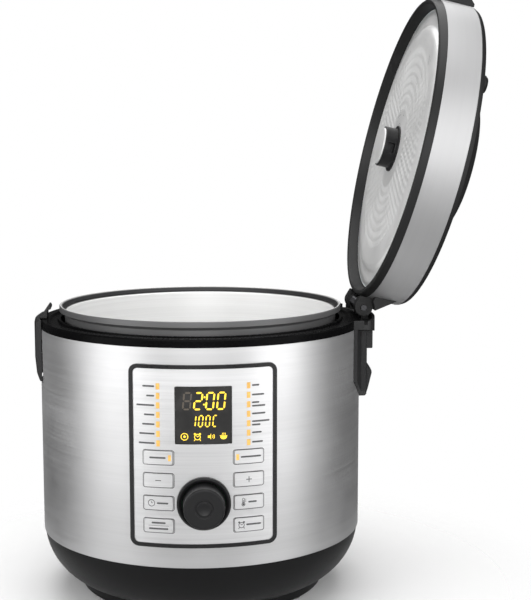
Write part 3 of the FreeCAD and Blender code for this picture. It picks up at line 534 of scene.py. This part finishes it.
def digit(target, character, left, bottom, wide, tall, thick):
    """A leaning seven-segment character with chamfered segment ends."""
    lean = 0.10
    for name in LIT[character]:
        ends = [Vector((left + x * wide, bottom + y * tall)) for x, y in SEGMENTS[name]]
        run = (ends[1] - ends[0]).normalized()
        side = Vector((-run.y, run.x)) * thick / 2
        start = ends[0] + run * thick * 0.35
        end = ends[1] - run * thick * 0.35
        nib = run * thick * 0.5
        outline = [
            start, start + nib - side, end - nib - side,
            end, end - nib + side, start + nib + side,
        ]
        target.shape([(p.x + (p.y - bottom) * lean, p.y) for p in outline])


def clock_icon(target, across, up, radius, wide):
    target.ring(across, up, radius, wide)
    target.line((across, up - wide / 2), (across, up + radius * 0.55), wide * 0.8)
    target.line((across, up), (across + radius * 0.45, up), wide * 0.8)


def alarm_icon(target, across, up, radius, wide):
    target.ring(across, up - 0.2, radius * 0.85, wide)
    target.line((across, up - 0.2), (across - radius * 0.3, up + radius * 0.35), wide * 0.8)
    target.line((across, up - 0.2), (across + radius * 0.4, up + radius * 0.25), wide * 0.8)
    for side in (-1, 1):
        bell = math.radians(90 - side * 42)
        target.dot(across + radius * math.cos(bell), up + radius * math.sin(bell), radius * 0.27)
        foot = across + side * radius * 0.6
        target.line((foot, up - radius * 0.7), (foot + side * radius * 0.25, up - radius * 1.1), wide)


def speaker_icon(target, across, up, radius):
    back, waist, front = across - radius * 0.75, across - 0.6, across + radius * 0.1
    neck, horn = 0.9, 2.4
    target.shape([(back, up - neck), (waist, up - neck), (waist, up + neck), (back, up + neck)])
    target.shape([(waist, up - neck), (front, up - horn), (front, up + horn), (waist, up + neck)])
    for size in (0.62, 1.0):
        target.ring(front - 0.1, up, radius * size, 0.5, -42, 84)


def steam_icon(target, across, up, radius):
    turns = [math.radians(180 + 15 * number) for number in range(13)]
    wide, deep = radius * 0.9, radius * 0.8
    target.shape([(across + wide * math.cos(t), up + 0.2 + deep * math.sin(t)) for t in turns])
    target.bar(across - radius, up + 0.4, across + radius, up + 0.9)
    for shift in (-1.2, 0.0, 1.2):
        target.line((across + shift, up + 1.3), (across + shift * 0.8 + 0.3, up + 2.9), 0.5)


def thermometer_icon(target, across, up):
    target.ring(across, up - 1.7, 1.5, 0.5)
    target.dot(across, up - 1.7, 0.8)
    target.line((across, up - 1.2), (across, up + 1.6), 0.5)
    for side in (-1, 1):
        target.line((across + side * 0.8, up - 0.5), (across + side * 0.8, up + 2.3), 0.4)
    target.ring(across, up + 2.3, 1.0, 0.4, 0, 180)
    for level in (0.4, 1.3, 2.2):
        target.line((across + 1.3, up + level), (across + 2.2, up + level), 0.35)


def make_display():
    """Lit time and temperature, the segments that are off, and a row of four symbols."""
    place = middle("display_window")
    glass = reach("display_window")
    lit = Print(panel_arc("display_window"), place.z, glass)
    unlit = Print(panel_arc("display_window"), place.z, glass)
    first, pitch, foot = -15.6, 8.4, 4.9
    for number, character in enumerate("8200"):
        left = first + number * pitch + (0.6 if number > 1 else 0.0)
        target = unlit if number == 0 else lit
        digit(target, character, left, foot, 5.4, 12.6, 1.35)
    for up in (8.6, 14.2):
        lit.dot(0.2 + (up - foot) * 0.08, up, 0.75)
    for left, character in zip((-6.4, -3.9, 1.4, 6.9), "100C"):
        digit(lit, character, left, -8.4, 2.9, 8.4, 0.95)
    row, size = -16.2, 2.9
    clock_icon(lit, -14.4, row, size, 0.6)
    lit.dot(-14.4, row, 0.9)
    alarm_icon(lit, -4.6, row, size, 0.6)
    speaker_icon(lit, 5.4, row, size)
    steam_icon(lit, 15.2, -16.4, size)
    lit.finish("display_digits", "digit_amber", "base")
    unlit.finish("display_unlit_digit", "digit_unlit", "base")


def lamp_levels():
    """Heights of the seven lamps of one column, from the lamps' own box."""
    low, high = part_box("indicator_lamps")
    half_lamp = 2.3 * MM
    lamps = 7
    first = high[2] - half_lamp
    last = low[2] + half_lamp
    return [first + (last - first) * number / (lamps - 1) for number in range(lamps)]


def make_programme_marks():
    """A plain bar, or two, beside each lamp."""
    column = abs(panel_arc("button_left_1")) / MM
    gap, spacing = 2.6, 2.7
    levels = lamp_levels()
    marks = Print(0.0, 0.0, panel_face)
    left = (9.5, 6.5, 14.5, 8.5, 10.0, 12.5, 13.0)
    right = ((6.0,), (10.0,), (6.0, 11.0), (11.0,), (14.5, 7.0), (8.0,), (9.0,))
    for level, length in zip(levels, left):
        marks.word(-column - gap - length, -column - gap, level / MM)
    for level, lengths in zip(levels, right):
        for number, length in enumerate(lengths):
            shift = spacing / 2 * (len(lengths) - 1) - spacing * number
            marks.word(column + gap, column + gap + length, level / MM + shift)
    marks.finish("programme_marks", "panel_ink", "base")


def arc_width(node):
    """How wide a node is, measured along the panel's curve."""
    turns = [math.atan2(v.co.x, -v.co.y) for v in nodes[node].data.vertices]
    return (max(turns) - min(turns)) * panel_face


def make_button_outlines():
    """Printed line round each button's opening."""
    margin, corner, line = 1.5, 2.0, 0.5
    for side in ("left", "right"):
        for row in range(1, 5):
            node = f"button_{side}_{row}"
            outline = Print(panel_arc(node), middle(node).z, panel_face)
            wide, tall = arc_width(node) / MM + margin, span(node).z / MM + margin
            outline.frame(wide, tall, corner, line)
            outline.finish(f"button_outline_{side}_{row}", "panel_ink", "base")


def make_button_marks():
    """Signs, symbols and plain bars on the eight buttons."""

    def begin(side, row):
        node = f"button_{side}_{row}"
        return Print(panel_arc(node), middle(node).z, reach(node))

    def end(target, side, row):
        target.finish(f"button_marks_{side}_{row}", "panel_ink", f"{side}_button_{row}")

    marks = begin("left", 1)
    marks.word(-6.9, 6.0, 0)
    end(marks, "left", 1)
    marks = begin("left", 2)
    marks.bar(-2.2, -0.3, 2.2, 0.3)
    end(marks, "left", 2)
    marks = begin("left", 3)
    clock_icon(marks, -5.5, 0, 2.8, 0.5)
    marks.word(-1.3, 7.7, 0)
    end(marks, "left", 3)
    marks = begin("left", 4)
    marks.word(-5.7, 5.5, 2.3)
    marks.bar(-8.0, -0.1, 8.0, 0.15)
    marks.word(-7.8, 7.5, -2.3)
    end(marks, "left", 4)
    marks = begin("right", 1)
    marks.word(-6.5, 9.7, 0)
    end(marks, "right", 1)
    marks = begin("right", 2)
    marks.bar(-2.2, -0.3, 2.2, 0.3)
    for side in (-1, 1):
        marks.line((0, side * 0.3), (0, side * 2.2), 0.6)
    end(marks, "right", 2)
    marks = begin("right", 3)
    thermometer_icon(marks, -4.5, 0)
    marks.word(-0.7, 6.2, 0)
    end(marks, "right", 3)
    marks = begin("right", 4)
    alarm_icon(marks, -6.0, 0, 2.8, 0.5)
    marks.word(-2.3, 9.7, 0)
    end(marks, "right", 4)
    for side, across in (("left", 8.9), ("right", -8.9)):
        lamp = begin(side, 1)
        lamp.bar(across - 1.1, -2.3, across + 1.1, 2.3)
        lamp.finish(f"button_lamp_{side}", "lamp_amber", f"{side}_button_1")


# ---- pressed inner plate of the lid ----------------------------------------------------------

def drop_height(radius, angle):
    """Height of the pressed pattern: staggered rings of radial drops between two circles."""
    first, pitch, rings = 36.0, 8.0, 7
    number = round((radius - first) / pitch)
    if number < 0 or number >= rings:
        return 0.0
    ring_radius = first + number * pitch
    count = round(2 * math.pi * ring_radius / 6.4)
    phase = angle * count / (2 * math.pi) + 0.5 * (number % 2)
    across = (phase - round(phase)) * 2
    along = (radius - ring_radius) / pitch * 2
    width = 0.62 - 0.18 * along
    inside = 1.0 - (across / width) ** 2 - along ** 2
    return 0.6 * max(0.0, inside) ** 0.8


def plate_profile():
    """Front face of the plate as (radius, level) in millimetres from its own centre level."""
    points = [(8.2, 0.0)]
    radius = 9.0
    while radius < 96:
        points.append((radius, 0.6 * (radius - 8) / 88))
        radius += 0.8
    points += [(96, 0.6), (100, 1.0), (103, 1.5), (105, 3.0)]
    points += [(106.2, 4.3), (107.4, 4.8), (113, 4.8), (119.3, 4.8)]
    return points


def make_inner_plate():
    """Aluminium plate with its pressed drops, built closed and swung open with the lid."""
    steps = 480
    centre_level = 238.8
    surface = bmesh.new()
    rings = []
    for radius, level in plate_profile():
        ring = []
        for number in range(steps):
            angle = 2 * math.pi * number / steps
            height = centre_level + level - drop_height(radius, angle)
            ring.append(surface.verts.new(Vector((
                radius * math.cos(angle) * MM, radius * math.sin(angle) * MM, height * MM))))
        rings.append(ring)
    for inner, outer in zip(rings, rings[1:]):
        for number in range(steps):
            following = (number + 1) % steps
            surface.faces.new((inner[number], inner[following], outer[following], outer[number]))
    surface.transform(lid_turn)
    for face in surface.faces:
        face.smooth = True
    mesh = bpy.data.meshes.new("inner_plate_pressed")
    surface.to_mesh(mesh)
    surface.free()
    piece = bpy.data.objects.new("inner_plate_pressed", mesh)
    bpy.context.scene.collection.objects.link(piece)
    thickness = piece.modifiers.new("thickness", "SOLIDIFY")
    thickness.thickness = 0.7 * MM
    thickness.offset = 1.0
    dress(piece, "plate_metal")
    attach(piece, "lid_plate")
    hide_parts("inner_plate")


# ---- studio ----------------------------------------------------------------------------------

def make_camera():
    place = Vector((-56.1, -1100.0, 384.9)) * MM
    heading = math.radians(5.79)
    pitch = math.radians(7.281)
    level = math.cos(pitch)
    look = Vector((math.sin(heading) * level, math.cos(heading) * level, -math.sin(pitch)))
    data = bpy.data.cameras.new("camera")
    data.lens = 78.16
    data.sensor_width = 36.0
    data.sensor_fit = "AUTO"
    camera = bpy.data.objects.new("camera", data)
    camera.location = place
    camera.rotation_euler = look.to_track_quat("-Z", "Y").to_euler()
    bpy.context.scene.collection.objects.link(camera)
    bpy.context.scene.camera = camera
    return heading


def softbox(name, heading, swing, rise, distance, wide, tall, power):
    """A large soft light. Swing is measured from the camera's side of the object to its right."""
    centre = Vector((0.02, 0.0, 0.22))
    toward = math.radians(swing)
    back = Vector((-math.sin(heading), -math.cos(heading), 0))
    right = Vector((math.cos(heading), -math.sin(heading), 0))
    plan = back * math.cos(toward) + right * math.sin(toward)
    up = math.radians(rise)
    data = bpy.data.lights.new(name, "AREA")
    data.shape = "RECTANGLE"
    data.size = wide
    data.size_y = tall
    data.energy = power
    lamp = bpy.data.objects.new(name, data)
    lamp.location = centre + (plan * math.cos(up) + Vector((0, 0, math.sin(up)))) * distance
    lamp.rotation_euler = (centre - lamp.location).to_track_quat("-Z", "Y").to_euler()
    bpy.context.scene.collection.objects.link(lamp)


def make_world():
    """White behind the object; what it reflects is grey in front and dark behind."""
    world = bpy.data.worlds.new("studio")
    bpy.context.scene.world = world
    world.use_nodes = True
    tree = world.node_tree
    tree.nodes.clear()
    output = tree.nodes.new("ShaderNodeOutputWorld")
    seen = tree.nodes.new("ShaderNodeBackground")
    seen.inputs["Color"].default_value = (1, 1, 1, 1)
    surround = tree.nodes.new("ShaderNodeBackground")
    direction = tree.nodes.new("ShaderNodeTexCoord")
    behind = tree.nodes.new("ShaderNodeVectorMath")
    behind.operation = "DOT_PRODUCT"
    behind.inputs[1].default_value = (math.sin(camera_heading), math.cos(camera_heading), 0)
    tree.links.new(direction.outputs["Generated"], behind.inputs[0])
    fall = tree.nodes.new("ShaderNodeMapRange")
    fall.interpolation_type = "SMOOTHSTEP"
    start, end, front, back = -0.45, 0.35, 0.50, 0.07
    for socket, number in zip(fall.inputs[1:5], (start, end, front, back)):
        socket.default_value = number
    tree.links.new(behind.outputs["Value"], fall.inputs[0])
    tree.links.new(fall.outputs[0], surround.inputs["Color"])
    choose = tree.nodes.new("ShaderNodeMixShader")
    path = tree.nodes.new("ShaderNodeLightPath")
    tree.links.new(path.outputs["Is Camera Ray"], choose.inputs[0])
    tree.links.new(surround.outputs[0], choose.inputs[1])
    tree.links.new(seen.outputs[0], choose.inputs[2])
    tree.links.new(choose.outputs[0], output.inputs[0])


def make_floor():
    """Pale round floor that fades into the white surround."""
    finish = Finish("pale_floor", (0.93, 0.93, 0.93), 0.0, 0.75)
    cloud = finish.noise(3.0)
    finish.use("Base Color", finish.tint(finish.between(cloud, 0.0, 1.0), 0.985, 1.01))
    radius = finish.vector("LENGTH", finish.vector("MULTIPLY", finish.place, (1.0, 1.0, 0.0)))
    finish.use("Alpha", finish.between(radius, 1.0, 0.0, 0.11, 0.32))
    disc = bmesh.new()
    bmesh.ops.create_circle(disc, cap_ends=True, segments=96, radius=1.2)
    mesh = bpy.data.meshes.new("floor")
    disc.to_mesh(mesh)
    disc.free()
    floor = bpy.data.objects.new("floor", mesh)
    floor.data.materials.append(finish.material)
    bpy.context.scene.collection.objects.link(floor)


camera_heading = make_camera()
make_world()
make_floor()
softbox("key_left", camera_heading, swing=-58, rise=9, distance=1.9, wide=1.4, tall=1.9, power=18)
softbox("fill_right", camera_heading, swing=56, rise=9, distance=1.9, wide=1.4, tall=1.9, power=17)
softbox("front", camera_heading, swing=0, rise=12, distance=2.3, wide=1.4, tall=1.4, power=25)
softbox("top", camera_heading, swing=0, rise=88, distance=1.7, wide=1.6, tall=1.6, power=22)
softbox("rear", camera_heading, swing=180, rise=50, distance=2.2, wide=1.8, tall=1.2, power=14)

make_display()
make_programme_marks()
make_button_outlines()
make_button_marks()
make_inner_plate()

bpy.context.scene.view_settings.view_transform = "Standard"

bpy.context.view_layer.update()
